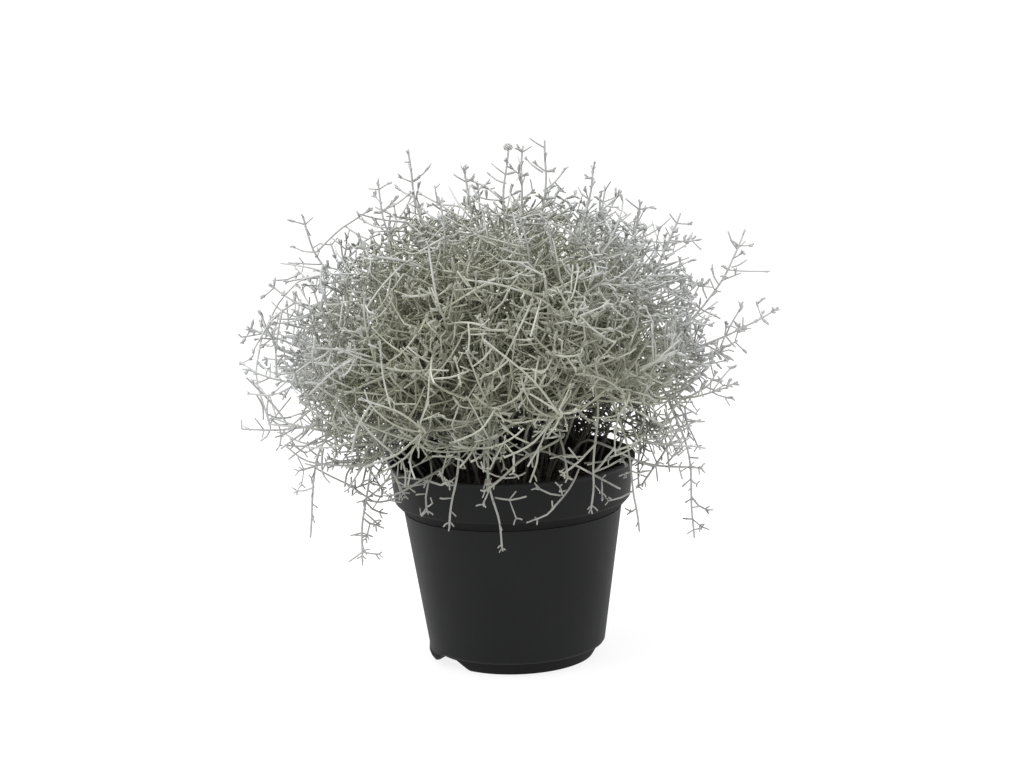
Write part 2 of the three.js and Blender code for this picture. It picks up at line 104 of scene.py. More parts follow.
UPRIGHT_TIPS = (
    (-48, 0, 272), (-63, -26, 259), (-32, -50, 254), (-19, 10, 258), (-13, 46, 248),
    (4, 0, 269), (12, 25, 270), (23, -10, 276), (47, -20, 261), (55, 32, 245),
    (72, 0, 241), (92, -10, 236), (91, 46, 217), (126, 0, 225), (-104, 0, 240),
    (-93, 42, 220), (-74, -32, 234), (-45, 62, 236), (22, 74, 232), (8, -62, 244),
)
SPREADING_TIPS = (
    (141, -10, 184), (113, -34, 148), (124, 34, 160), (-120, -22, 207), (-136, 10, 180),
    (-133, -44, 168), (-141, -6, 129), (-84, -92, 186), (-44, -118, 148), (-34, -98, 208),
    (24, -136, 160), (38, -102, 206), (84, -88, 178), (92, -82, 128), (-96, 84, 178),
    (-52, 114, 150), (-8, 112, 198), (34, 136, 158), (62, 104, 190), (106, 78, 138),
    (-62, -84, 108), (-14, -102, 113), (54, -84, 108), (-110, -40, 113), (98, -44, 108),
)
TRAILING_TIPS = (
    (-106, -30, 75), (-78, -54, 68), (-32, -86, 92), (-6, -84, 79), (39, -82, 97),
    (64, -62, 80), (95, -16, 64), (70, 62, 74), (2, 92, 70), (-66, 66, 78),
)
STEM_SHAPES = {
    "upright": lambda rise: (0.42 * rise, 8, -0.42 * rise, -12),
    "spreading": lambda rise: (38 + 0.3 * rise, 16, -0.35 * rise, -48),
    "trailing": lambda rise: (92, 26, 84, -2),
}
STEM_SWING = 22
STEM_TRIES = 200
TWIG_TRIES = 7
SEED = 1234
ROW_STEP = 16807
ROW_LENGTH = 2147483647

# Half the thickness of the finer pieces at their start and end, in millimetres
STEM_HALF = (0.82, 0.52)
BRANCH_HALF = (0.58, 0.5)
TWIG_HALF = (0.53, 0.47)
FINE_HALF = (0.48, 0.42)
SMALL_HALF = (0.42, 0.38)
YOUNG_HALF = 0.85

# Lengths and directions
MM = 0.001
UP = (0.0, 0.0, 1.0)


def plus(a, b, share=1):
    return (a[0] + b[0] * share, a[1] + b[1] * share, a[2] + b[2] * share)


def minus(a, b):
    return (a[0] - b[0], a[1] - b[1], a[2] - b[2])


def times(a, size):
    return (a[0] * size, a[1] * size, a[2] * size)


def dot(a, b):
    return a[0] * b[0] + a[1] * b[1] + a[2] * b[2]


def cross(a, b):
    return (a[1] * b[2] - a[2] * b[1], a[2] * b[0] - a[0] * b[2], a[0] * b[1] - a[1] * b[0])


def length(a):
    return math.sqrt(dot(a, a))


def unit(a):
    return times(a, 1 / (length(a) or 1))


def apart(a, b):
    return length(minus(a, b))


def squared(a, along):
    """Direction a, leaned over until it is square to the other."""
    return unit(plus(a, along, -dot(a, along)))


def swung(a, b, angle):
    """Direction a, turned by the angle towards b, which is square to it."""
    return plus(times(a, math.cos(angle)), b, math.sin(angle))


def on_circle(radius, angle):
    return radius * math.cos(angle), radius * math.sin(angle)


class Row:
    """A repeatable row of numbers between 0 and 1."""

    def __init__(self, seed):
        self.state = seed

    def draw(self):
        self.state = (self.state * ROW_STEP) % ROW_LENGTH
        return self.state / ROW_LENGTH

    def chance(self, share):
        return self.draw() < share

    def between(self, low, high):
        return low + (high - low) * self.draw()

    def vector(self, size):
        return tuple(self.between(-size, size) for _ in range(3))


row = Row(SEED)


def square_to(direction):
    other = UP if abs(direction[2]) < 0.9 else (1.0, 0.0, 0.0)
    return unit(cross(direction, other))


def outer_radius_at(z):
    if z > CHAMFER_BOTTOM - 2:
        return RIM_RADIUS
    return BODY_FOOT_RADIUS + ((BODY_TOP_RADIUS - BODY_FOOT_RADIUS) * z) / CHAMFER_BOTTOM


def clear_of_pot(point, margin):
    radius = math.hypot(point[0], point[1])
    if point[2] > POT_HEIGHT + margin or radius > outer_radius_at(point[2]) + margin:
        return True
    inside = RIM_RADIUS - 2 * WALL - 3 - margin
    return radius < inside and point[2] > SOIL_TOP + SOIL_DOME + margin


def inside_bush(point, size=1):
    across = ((point[0] - BUSH_CENTRE_X) / BUSH_RADIUS_X) ** 2 + (point[1] / BUSH_RADIUS_Y) ** 2
    tall = BUSH_UP if point[2] > BUSH_WAIST else BUSH_DOWN
    return across + ((point[2] - BUSH_WAIST) / tall) ** 2 < size ** 2


def inside_reach(point):
    return abs(point[0]) < REACH_X - 1 and abs(point[1]) < REACH_Y - 1 and point[2] > LOWEST


def balls_between(start, end):
    count = max(1, math.ceil(apart(start, end) / BALL_SPACING))
    step = minus(end, start)
    return [plus(start, step, (n + 1) / count) for n in range(count)]


def cell_of(point, size):
    return tuple(math.floor(c / size) for c in point)


def cells_round(cell):
    """The cell and the 26 that touch it."""
    i, j, k = cell
    return [(a, b, c) for a in (i - 1, i, i + 1) for b in (j - 1, j, j + 1) for c in (k - 1, k, k + 1)]


class Thicket:
    """The space that stems and twigs already fill, kept as balls in a grid of cells."""

    def __init__(self):
        self.cells = {}
        self.crowds = {}

    def add(self, points, radius, owner):
        for start, end in zip(points, points[1:]):
            for ball in balls_between(start, end):
                self.cells.setdefault(cell_of(ball, CELL), []).append((*ball, radius, owner))
                crowd = cell_of(ball, CROWD_CELL)
                self.crowds[crowd] = self.crowds.get(crowd, 0) + 1

    def crowding(self, point):
        return sum(self.crowds.get(cell, 0) for cell in cells_round(cell_of(point, CROWD_CELL)))

    def is_clear(self, start, end, radius, owner, root, clearance=CLEARANCE):
        for ball in balls_between(start, end):
            x, y, z = ball
            at_root = apart(ball, root) < ROOT_FREE
            if not at_root and not clear_of_pot(ball, radius + clearance):
                return False
            for cell in cells_round(cell_of(ball, CELL)):
                for u, v, w, size, whose in self.cells.get(cell, ()):
                    if at_root and whose == owner:
                        continue
                    gap = math.sqrt((u - x) * (u - x) + (v - y) * (v - y) + (w - z) * (w - z))
                    if gap < size + radius + clearance:
                        return False
        return True


thicket = Thicket()


def root_for(tip, roots):
    reach = math.hypot(tip[0], tip[1])
    angle = math.atan2(tip[1], tip[0]) + row.between(-ROOT_SWING, ROOT_SWING)
    radius = ROOT_REACH + ROOT_SHARE * reach
    x, y = on_circle(radius, angle)
    attempt = 0
    while True:
        shift = row.vector(ROOT_SHIFT * attempt)
        root = (x + shift[0], y + shift[1], STEM_COLLAR)
        if all(apart(other, root) > ROOT_SPACING for other in roots):
            return root
        attempt += 1


def stem_handles(root, tip, kind):
    outward = unit((tip[0], tip[1], 0.0))
    sideways = times(cross(outward, UP), row.between(-STEM_SWING, STEM_SWING))
    root_up, root_out, tip_up, tip_out = STEM_SHAPES[kind](tip[2] - root[2])
    first = plus(plus(root, UP, root_up), outward, root_out)
    second = plus(plus(tip, UP, tip_up), outward, tip_out)
    return root, plus(first, sideways), minus(second, sideways), tip


def bezier(handles, t):
    k = 1 - t
    p0, p1, p2, p3 = handles
    return tuple(
        k * k * k * a + 3 * k * k * t * b + 3 * k * t * t * c + t * t * t * d
        for a, b, c, d in zip(p0, p1, p2, p3)
    )


def lay_stem(root, tip, kind, owner):
    handles = stem_handles(root, tip, kind)
    marks = [bezier(handles, n / 200) for n in range(201)]
    total = sum(apart(b, a) for a, b in zip(marks, marks[1:]))
    steps = math.floor(total / STEM_STEP + 0.5)
    points = [(root[0], root[1], STEM_FOOT), root]
    for n in range(1, steps + 1):
        last = points[-1]
        attempt = 0
        while True:
            sway = 1.5 + 0.25 * attempt if n < steps else 0.1 * attempt
            place = plus(bezier(handles, n / steps), row.vector(sway))
            if thicket.is_clear(last, place, STEM_RADIUS, owner, root) or attempt > STEM_TRIES:
                points.append(place)
                break
            attempt += 1
    thicket.add(points, STEM_RADIUS, owner)
    return points


def grow_twig(start, heading, spot, steps, step, curl, radius, owner):
    points = [start]
    direction = heading
    for _ in range(steps):
        last = points[-1]
        pull = times(unit(minus(spot, last)), PULL) if spot else times(UP, LIFT)
        for attempt in range(TWIG_TRIES):
            turned = plus(plus(direction, curl), pull)
            turned = unit(plus(turned, row.vector(0.06 + 0.2 * attempt)))
            there = plus(last, turned, step)
            allowed = inside_reach(there) and (not spot or inside_bush(there, OVERSHOOT))
            if allowed and thicket.is_clear(last, there, radius, owner, start):
                break
        else:
            break
        points.append(there)
        direction = turned
        if spot and not inside_bush(there):
            break
    thicket.add(points, radius, owner)
    return points


def bud_on(rod, bud, wanted, angle):
    """The place of a bud on the face of a rod that looks the most the wanted way, and its heading."""
    stretch, offset = bud
    along = rod.alongs[stretch]
    side = squared(square_to(unit(minus(rod.points[-1], rod.points[0]))), along)
    other = cross(along, side)
    faces = [swung(side, other, (1 + 2 * n) * math.pi / SIDES) for n in range(SIDES)]
    best = max(faces, key=lambda face: dot(face, wanted))
    middle = plus(rod.points[stretch], along, offset)
    return plus(middle, best, BUD_DEPTH), swung(along, best, angle)


class Rod:
    """A stem, branch or twig, with the places on it where twigs can still leave it."""

    def __init__(self, points, owner, first_stretch):
        self.points = points
        self.owner = owner
        self.buds = [
            (stretch, offset)
            for stretch in range(first_stretch, len(points) - 1)
            for offset in BUD_OFFSETS
            if offset + BUD_ROOM < apart(points[stretch], points[stretch + 1])
        ]
        self.alongs = [unit(minus(end, start)) for start, end in zip(points, points[1:])]


def take_bud(rods, spot, reach):
    near, far = reach
    best = None
    least = far
    for rod in rods:
        for bud in rod.buds:
            towards = minus(spot, rod.points[bud[0]])
            distance = length(towards)
            if distance < near or distance > far or (best and distance >= least):
                continue
            slant = dot(towards, rod.alongs[bud[0]]) / distance
            if not BUD_SLANTS[0] <= slant <= BUD_SLANTS[1]:
                continue
            best = (rod, bud, towards, distance)
            least = distance
    if best:
        best[0].buds.remove(best[1])
    return best


def spot_in_bush():
    while True:
        x = BUSH_CENTRE_X + row.between(-BUSH_RADIUS_X, BUSH_RADIUS_X)
        y = row.between(-BUSH_RADIUS_Y, BUSH_RADIUS_Y)
        z = BUSH_WAIST + row.between(-BUSH_DOWN, BUSH_UP)
        if inside_bush((x, y, z)) and clear_of_pot((x, y, z), 6):
            return (x, y, z)


def empty_spot():
    """The least crowded of a few random spots."""
    return min([spot_in_bush() for _ in range(SPOTS_TRIED)], key=thicket.crowding)


def fill_bush(rods, count, reach, step, radius):
    grown = []
    for _ in range(count):
        spot = empty_spot()
        start = take_bud(rods, spot, reach)
        if not start:
            continue
        rod, bud, towards, distance = start
        place, heading = bud_on(rod, bud, towards, row.between(*BUD_ANGLES))
        steps = max(1, math.floor(distance / step + 0.5))
        points = grow_twig(place, heading, spot, steps, step, row.vector(0.15), radius, rod.owner)
        if len(points) > 1:
            grown.append(Rod(points, rod.owner, 0))
    return grown


def sprigs_of(stem):
    sprigs = []
    for bud in stem.buds:
        stretch, offset = bud
        place = plus(stem.points[stretch], stem.alongs[stretch], offset)
        if inside_bush(place, SPRIG_START):
            continue
        start, heading = bud_on(stem, bud, row.vector(1), row.between(*BUD_ANGLES))
        step = row.between(*SPRIG_STEPS)
        points = grow_twig(start, heading, None, 1, step, row.vector(0.1), TWIG_RADIUS, stem.owner)
        if len(points) > 1:
            sprigs.append(Rod(points, stem.owner, 0))
    return sprigs


def grow_bush():
    tips = {"upright": UPRIGHT_TIPS, "spreading": SPREADING_TIPS, "trailing": TRAILING_TIPS}
    wanted = [(tip, kind) for kind in tips for tip in tips[kind]]
    roots = []
    stems = []
    for n, (tip, kind) in enumerate(wanted):
        name = f"stem_{n + 1:02d}"
        root = root_for(tip, roots)
        roots.append(root)
        stems.append(Rod(lay_stem(root, tip, kind, name), name, 2))
    sprigs = [sprig for stem in stems for sprig in sprigs_of(stem)]
    branches = fill_bush(stems, BRANCHES, BRANCH_REACH, BRANCH_STEP, BRANCH_RADIUS)
    twigs = fill_bush(stems + branches, TWIGS, TWIG_REACH, TWIG_STEP, TWIG_RADIUS)
    return stems, branches, sprigs + twigs


# Finer growth
FINE_RADIUS = 0.5
FINE_STEP = 5.5
FINE_CLEARANCE = 0.1
FINE_TRIES = 4
SHORTEST_STEP = 0.8
SHORTEST_REACH = 2
LONG_REACH = 14
LINE_SPACING = 4
NODE_SPACING = (4.3, 7.4)
SMALL_SPACING = (5, 10)
SMALL_START = 1.5
FINE_ANGLES = (0.9, 1.45)
SCALE_LEANS = (0.25, 0.6)
FORK_LEANS = (0.7, 1.2)
STEM_WAVER = 1.4
BRANCH_WAVER = 0.9
WAVER_START = 20
WAVER_LENGTHS = (9, 12)
STEM_BARE = 20
BRANCH_BARE = 3
TWIG_BARE = 2
TIP_ROUNDING = 0.5
TIP_SIZE = 0.55
KNOBS = 0.07
NECK = 0.75

# The dense part of the bush
HIGHEST = 278
FULL_CENTRE_X = -9
FULL_LEAN = 0.22
FULL_TILT = 0.13
FULL_RADIUS_X = 109
FULL_RADIUS_Y = 107
FULL_UP = 91
FULL_DOWN = 55
FULL_EDGE = 0.97

# The open spaces round the pot, and where the ends of the bush are
BACK_START = 15
MOUTH_TOP_LEFT = 122
MOUTH_TOP_RIGHT = 130
MOUTH_TOP_BEHIND = 111
UNDERSIDE = 120
VIEW_SLOPE = 0.19
FRONT_END = 35
FRONT_SPAN = (-50, 72)
FRONT_TOPS = ((25, 137), (5, 125), (-50, 108))
COLLAR_SPACE = 28
COLLAR_SPACE_TOP = 109
FRONT_FACE = -98
FLANK_START = 80
FLANK_SPAN = (140, 215)
HANGING_REACH = 98
HANGING_SPAN = (110, 145)
LOW_ENDS_TOP = 125
SHORTEST_FORKED = 9
EAR_DEPTH = 0.93
EARS_BOTTOM = 140


def smooth_line(points, spacing=LINE_SPACING):
    """A smooth line through the points, with a point about every spacing."""
    line = [points[0]]
    for n in range(len(points) - 1):
        before = points[max(n - 1, 0)]
        start, end = points[n], points[n + 1]
        after = points[min(n + 2, len(points) - 1)]
        pieces = max(1, round(apart(start, end) / spacing))
        for k in range(1, pieces + 1):
            t = k / pieces
            a = -0.5 * t + t * t - 0.5 * t * t * t
            b = 1 - 2.5 * t * t + 1.5 * t * t * t
            c = 0.5 * t + 2 * t * t - 1.5 * t * t * t
            d = -0.5 * t * t + 0.5 * t * t * t
            place = plus(plus(plus(times(before, a), start, b), end, c), after, d)
            line.append(place)
    return line


def bowed(points):
    """A twig of one straight stretch, bent a little so that its middle hangs."""
    if len(points) > 2:
        return points
    start, end = points
    along = unit(minus(end, start))
    side = unit(plus(cross(along, row.vector(1)), UP, -1.5))
    sag = min(2, 0.12 * apart(start, end)) * row.between(0.5, 1)
    middle = plus(plus(times(start, 0.5), end, 0.5), squared(side, along), sag)
    return [start, middle, end]


def wavering(line, size):
    """The line with a slow waver, so that no long stretch of it is straight. Its ends stay."""
    along = unit(minus(line[-1], line[0]))
    side = square_to(along)
    other = cross(along, side)
    first, second = row.between(0, 2 * math.pi), row.between(0, 2 * math.pi)
    run = [0.0]
    for start, end in zip(line, line[1:]):
        run.append(run[-1] + apart(start, end))
    wavered = []
    for place, done in zip(line, run):
        amount = size * min(1, done / WAVER_START, (run[-1] - done) / WAVER_START)
        place = plus(place, side, amount * math.sin(done / WAVER_LENGTHS[0] + first))
        wavered.append(plus(place, other, amount * math.sin(done / WAVER_LENGTHS[1] + second)))
    return wavered


def fullness_depth(point):
    """0 in the middle of the dense part of the bush and 1 at its edge. Its top leans to the right,
    and it is higher on the left."""
    x, y, z = point
    height = z - BUSH_WAIST - FULL_TILT * max(0, -30 - x)
    sideways = x - FULL_CENTRE_X - FULL_LEAN * max(0 if x < 0 else -30, height)
    across = (sideways / FULL_RADIUS_X) ** 2 + (y / FULL_RADIUS_Y) ** 2
    down = max(18, FULL_DOWN - max(0, -90 - x) + 0.25 * max(0, y))
    return math.sqrt(across + (height / (FULL_UP if height > 0 else down)) ** 2)


def over_the_mouth(point):
    """The dark space between the soil and the underside of the bush, where no fine twig grows."""
    x, y, z = point
    top = MOUTH_TOP_RIGHT if x > 0 else MOUTH_TOP_LEFT
    if y > BACK_START:
        top = MOUTH_TOP_BEHIND
    return z < top and math.hypot(x, y) < RIM_RADIUS - 1


def towards_light(point):
    """Up and a little outwards from the middle of the bush; straight up under it."""
    if point[2] < UNDERSIDE:
        return UP
    return unit((0.8 * (point[0] - FULL_CENTRE_X), 0.4 * point[1], 0.8 * FULL_RADIUS_X))


def grow_fine(start, heading, reach, lift, curl, owner):
    """A fine side twig that bends slowly towards the light, or from it where the lift is below
    zero, and stops where something is in its way."""
    points = [start]
    direction = heading
    left = reach
    depth = fullness_depth(start)
    stray = depth + 0.1 + (0.3 if depth > FULL_EDGE else 0.2) * row.draw() ** 3
    while left > SHORTEST_STEP:
        step = min(FINE_STEP, left)
        last = points[-1]
        light = towards_light(last)
        for attempt in range(FINE_TRIES):
            turned = plus(plus(direction, curl), light, lift)
            turned = unit(plus(turned, row.vector(0.03 + 0.2 * attempt)))
            there = plus(last, turned, step)
            if fullness_depth(there) > max(1.0, stray):
                outward = unit(minus(last, (FULL_CENTRE_X, 0, BUSH_WAIST)))
                if abs(outward[1]) > 0.55:
                    turned = unit(plus(turned, outward, -0.12 - dot(turned, outward)))
                    there = plus(last, turned, step)
            if abs(there[0]) > REACH_X or abs(there[1]) > REACH_Y or there[2] > HIGHEST:
                continue
            if over_the_mouth(there) or fullness_depth(there) > max(1.0, stray):
                continue
            if thicket.is_clear(last, there, FINE_RADIUS, owner, start, FINE_CLEARANCE):
                break
        else:
            break
        points.append(there)
        direction = turned
        left -= step
    if len(points) > 1:
        thicket.add(points, FINE_RADIUS, owner)
    return points


def opposite_twigs(line, owner, spacing, reach_for, first=0.0):
    """Pairs of fine twigs along a line, each pair a quarter turn round from the pair before it."""
    grown = []
    side = square_to(unit(minus(line[-1], line[0])))
    due = first + row.between(*spacing)
    for start, end in zip(line, line[1:]):
        stretch = apart(start, end)
        along = unit(minus(end, start))
        while due < stretch:
            place = plus(start, along, due)
            side = cross(along, squared(side, along))
            turn = row.between(-0.35, 0.35)
            out = swung(side, cross(along, side), turn)
            for sign in (1, -1):
                reach = reach_for(place)
                if reach < SHORTEST_REACH:
                    continue
                heading = swung(along, times(out, sign), row.between(*FINE_ANGLES))
                lift = row.between(0.08, 0.22) if reach > LONG_REACH else row.between(-0.02, 0.14)
                if reach > LONG_REACH:
                    heading = unit((heading[0], heading[1], 0.5 * heading[2]))
                if place[1] > BACK_START and place[2] < HANGING_SPAN[1]:
                    lift *= -0.7
                points = grow_fine(place, heading, reach, lift, row.vector(0.08), owner)
                if len(points) > 1:
                    grown.append(points)
            due += row.between(*spacing)
        due -= stretch
    return grown


def before_the_pot(place):
    """The open space round the front of the pot's collar, where only a few twigs hang, most open on
    the right."""
    x, y, z = place
    if y > FRONT_END:
        return False
    if FRONT_SPAN[0] < x < FRONT_SPAN[1]:
        top = next(height for left, height in FRONT_TOPS if x > left)
        return z + VIEW_SLOPE * min(0, y) < top
    return z < COLLAR_SPACE_TOP and math.hypot(x, y) < RIM_RADIUS + COLLAR_SPACE


def side_reach(place, on_stem=False):
    """The length of a side twig: long inside the bush, short on the ends that stand out of it."""
    depth = fullness_depth(place)
    share = row.draw()
    if over_the_mouth(place) or (place[1] < FRONT_FACE and row.chance(0.55)):
        return 0
    if before_the_pot(place):
        return 3 + 9 * share if row.chance(0.25 if place[0] > 0 else 0.4) else 0
    if depth > FULL_EDGE and on_stem:
        high_up = FLANK_SPAN[0] < place[2] < FLANK_SPAN[1]
        if abs(place[0] - FULL_CENTRE_X) > FLANK_START and high_up and row.chance(0.35):
            return 12 + 20 * share
        return 2.5 + 7.5 * share if row.chance(0.88) else 0
    if row.draw() > 3.6 - 3 * depth:
        return 0
    if depth > FULL_EDGE:
        return 2 + 8 * share
    under_the_back = place[1] > BACK_START and place[2] < BUSH_WAIST
    if row.chance(0.9 if under_the_back else 0.62):
        return 17 + (50 - 24 * depth) * share
    return 4 + 8 * share


def stem_reach(place):
    return side_reach(place, True)


def sub_reach(place):
    share = row.draw()
    if before_the_pot(place):
        return 2 + 5 * share if row.chance(0.2) else 0
    if fullness_depth(place) < 0.75:
        return 5 + 16 * share
    return 2 + 7 * share if row.chance(0.4) else 0


class Strand:
    """One stem, branch or twig as a line with a radius at each point: it narrows evenly, and is a
    little knobbly where its leaves are pressed to it."""

    def __init__(self, line, first, last, finish="felt", neck=False, sides=6):
        self.finish = finish
        self.sides = sides
        self.line = list(line)
        steps = max(1, len(line) - 1)
        even = [first + (last - first) * n / steps for n in range(len(line))]
        self.radii = [radius * (1 + row.between(-KNOBS, KNOBS)) for radius in even]
        if neck:
            self.radii[0] = first * NECK
        self.round_tip()

    def round_tip(self):
        end, before = self.line[-1], self.line[-2]
        size = self.radii[-1]
        out = unit(minus(end, before))
        self.line[-1] = plus(end, out, -min(size * TIP_ROUNDING, apart(end, before) / 2))
        self.line.append(end)
        self.radii.append(size * TIP_SIZE)


def ways_round(along, fewest, leans):
    """Ways out round an end: the fewest or up to two more, in pairs that cross each other."""
    side = square_to(along)
    other = cross(along, side)
    spin = row.between(0, math.pi)
    for n in range(fewest + round(2.4 * row.draw())):
        out = swung(side, other, spin + n * math.pi + (n // 2) * math.pi / 2)
        yield n // 2, swung(along, out, row.between(*leans))


def young_shoot(points):
    """The thicker young end of a twig, like a small ear, with one to three scales pressed to it."""
    end, before = points[-1], points[-2]
    along = unit(minus(end, before))
    reach = min(apart(end, before) * 0.9, row.between(4, 7.5))
    size = YOUNG_HALF * row.between(0.85, 1.1)
    ear = Strand([plus(end, along, -reach * part) for part in (1, 0.66, 0.33, 0)], 1, 1, "bud", sides=4)
    ear.radii = [size * part for part in (0.55, 0.9, 1, 0.8, 0.4)]
    strands = [ear]
    for _, heading in ways_round(along, 1, SCALE_LEANS):
        start = plus(end, along, -reach * row.between(0.1, 0.9))
        tip = plus(start, heading, row.between(1.8, 3.2))
        strands.append(Strand([start, tip], size * 0.7, size * 0.62, "bud", sides=4))
    return strands


def forked_end(points):
    """Two to four short twigs round the end of a low one."""
    end = points[-1]
    along = unit(minus(end, points[-2]))
    strands = []
    for pair, heading in ways_round(along, 2, FORK_LEANS):
        start = plus(end, along, -(0.6 + 1.8 * pair))
        middle = plus(start, heading, row.between(1.2, 2.4))
        tip = plus(middle, unit(plus(heading, along, row.between(0.1, 0.6))), row.between(1, 2.2))
        strands.append(Strand([start, middle, tip], *SMALL_HALF, sides=4))
    return strands


def hanging_twigs(lines):
    """More twigs under the back of the bush, which close the view between it and the pot."""
    grown = []
    for line, owner, _, _ in lines:
        for place in line[2:]:
            x, y, z = place
            if y < BACK_START or math.hypot(x, y) > HANGING_REACH:
                continue
            if not HANGING_SPAN[0] < z < HANGING_SPAN[1] or row.chance(0.4):
                continue
            round_the_pot = times(unit((y, -x, 0)), 1 if row.chance(0.5) else -1)
            heading = plus(plus(round_the_pot, row.vector(0.45)), UP, -row.between(0.15, 0.8))
            points = grow_fine(place, unit(heading), row.between(14, 38), -0.04, row.vector(0.08), owner)
            if len(points) > 2:
                grown.append((points, owner))
    return grown


def leafy_strands():
    """Every stem's strands: the lines of the source, made smooth, and the finer twigs on them."""
    stems, branches, twigs = grow_bush()
    strands = {stem.owner: [] for stem in stems}
    lines = []
    ends = []

    def add(line, owner, halves, sides=6, neck=True):
        strands[owner].append(Strand(line, *halves, neck=neck, sides=sides))
        ends.append((line, owner))

    kinds = (
        (stems, STEM_WAVER, STEM_HALF, STEM_BARE, stem_reach),
        (branches, BRANCH_WAVER, BRANCH_HALF, BRANCH_BARE, side_reach),
        (twigs, 0, TWIG_HALF, TWIG_BARE, side_reach),
    )
    for rods, waver, halves, bare, reach_for in kinds:
        for rod in rods:
            line = smooth_line(rod.points if waver else bowed(rod.points))
            if waver:
                line = wavering(line, waver)
            add(line, rod.owner, halves, neck=rods is not stems)
            lines.append((line, rod.owner, bare, reach_for))
    for line, owner, bare, reach_for in lines:
        for fine in opposite_twigs(line, owner, NODE_SPACING, reach_for, bare):
            add(fine, owner, FINE_HALF, 4 if len(fine) < 4 else 6)
            if len(fine) > 2:
                for small in opposite_twigs(fine, owner, SMALL_SPACING, sub_reach, SMALL_START):
                    add(small, owner, SMALL_HALF, 4)
    for line, owner in hanging_twigs(lines):
        add(line, owner, FINE_HALF, 4 if len(line) < 5 else 6)
    for line, owner in ends:
        tip = line[-1]
        is_long = apart(tip, line[0]) > SHORTEST_FORKED
        if tip[2] < LOW_ENDS_TOP and not over_the_mouth(tip) and is_long and row.chance(0.6):
            strands[owner] += forked_end(line)
        if fullness_depth(tip) > EAR_DEPTH and tip[2] > EARS_BOTTOM and row.chance(0.6):
            strands[owner] += young_shoot(line)
    return strands


# Finishes, in metres: each span is where a change over a surface starts and how far it goes on
HEART = 0.14
AGE_AND_SHADE_DOME = (-0.014, 0.122, 0.12, 0.11)
SILVER_DOME = (-0.006, 0.118, 0.19, 0.12)
LOW_ENDS = (0.105, 0.045)
OUTER_ENDS = (0.7, 0.22)
# Where the twigs low under the bush get painted shade
UNDER_BUSH = (0.113, 0.025)
MOUTH_EDGE = (0.052, 0.013)
BACK_HALF = (-0.02, 0.045)
BACK_EDGE = (0.067, 0.018)
HAIRS = (0.42, 1)
FOOT_DUST = (0, 0.016)
RIM_DUST = (0.1035, 0.0045)
DUST_FLECKS = (0.54, 0.2)
INNER_WALL = 0.062
INNER_WALL_FOOT = 0.0873
INNER_WALL_SLANT = 0.0944
INNER_FACE = (0, 0.0004)
SOIL_AND_LIGHT_MARKS = (0.0885, 0.001)
# Where the pot's collar slope and foot slope get painted shade
COLLAR_SLOPE = (0.0822, 0.0004)
COLLAR_SLOPE_TOP = (0.0862, 0.0008)
FOOT_SLOPE_TOP = (0.0062, 0.0012)


class Field:
    """A number that changes over a surface. Sums on fields add the nodes that work them out."""

    def __init__(self, recipe, socket):
        self.recipe = recipe
        self.socket = socket

    def sum(self, operation, first, second=0.0):
        made = self.recipe.node("ShaderNodeMath", {"operation": operation}, {0: first, 1: second})
        return Field(self.recipe, made.outputs[0])

    def __add__(self, other):
        return self.sum("ADD", self, other)

    def __sub__(self, other):
        return self.sum("SUBTRACT", self, other)

    def __rsub__(self, other):
        return self.sum("SUBTRACT", other, self)

    def __mul__(self, other):
        return self.sum("MULTIPLY", self, other)

    def __truediv__(self, other):
        return self.sum("DIVIDE", self, other)

    __radd__ = __add__
    __rmul__ = __mul__

    def root(self):
        return self.sum("SQRT", self)

    def least(self, other):
        return self.sum("MINIMUM", self, other)

    def most(self, other):
        return self.sum("MAXIMUM", self, other)

    def kept(self):
        return self.least(1.0).most(0.0)

    def climb(self, span):
        """0 up to the start of the span, then evenly up to 1 at its end."""
        start, width = span
        return ((self - start) / width).kept()


